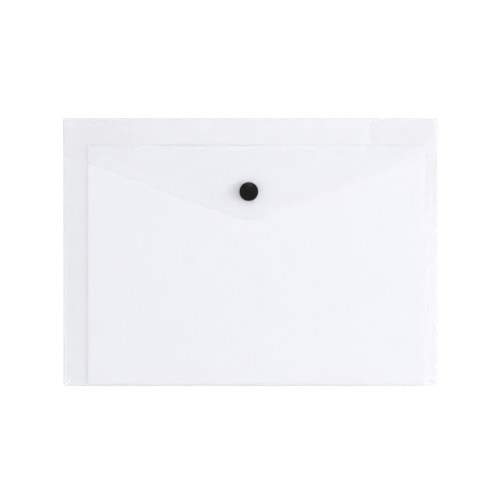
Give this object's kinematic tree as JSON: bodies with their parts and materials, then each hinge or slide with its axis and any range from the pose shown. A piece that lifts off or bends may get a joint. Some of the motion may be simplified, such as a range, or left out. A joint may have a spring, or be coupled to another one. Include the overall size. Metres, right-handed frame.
{
  "type": "document wallet",
  "caption": "Clear film document wallet with a pointed flap on a living hinge, closed by a round press stud, holding loose sheets in a side-welded pocket with a thumb notch.",
  "frame": {"origin": "middle of the wallet, on the underside of the back panel that it lies on", "axes": "+X along the long side, to the right seen from the front; +Y up to the top crease; +Z out of the front, towards the flap and the stud"},
  "size_m": [0.33, 0.236, 0.0077],
  "materials": {
    "film": "frosted clear polypropylene film",
    "stud": "black moulded plastic with a fine grain",
    "sheets": "plain white uncoated paper"
  },
  "bodies": {
    "pocket": {"back_panel": "film", "back_shoulder": "film", "top_fold": "film", "bottom_fold": "film", "front_panel": "film", "left_gusset": "film", "right_gusset": "film", "left_side_weld": "film", "right_side_weld": "film", "stud_ball": "stud", "stud_base": "stud"},
    "flap": {"flap_shoulder": "film", "flap": "film", "stud_cap": "stud", "stud_socket": "stud"},
    "sheets": {"paper_stack": "sheets"}
  },
  "joints": [
    {"name": "flap_hinge", "type": "hinge", "parent": "pocket", "child": "flap", "pos_m": [0, 0.11703, 0.0029], "axis": [-1, 0, 0], "range_deg": [0, 177], "deforming": ["top_fold"]},
    {"name": "sheets_slide", "type": "slide", "parent": "pocket", "child": "sheets", "axis": [0, 1, 0], "range_m": [0, 0.012]}
  ]
}
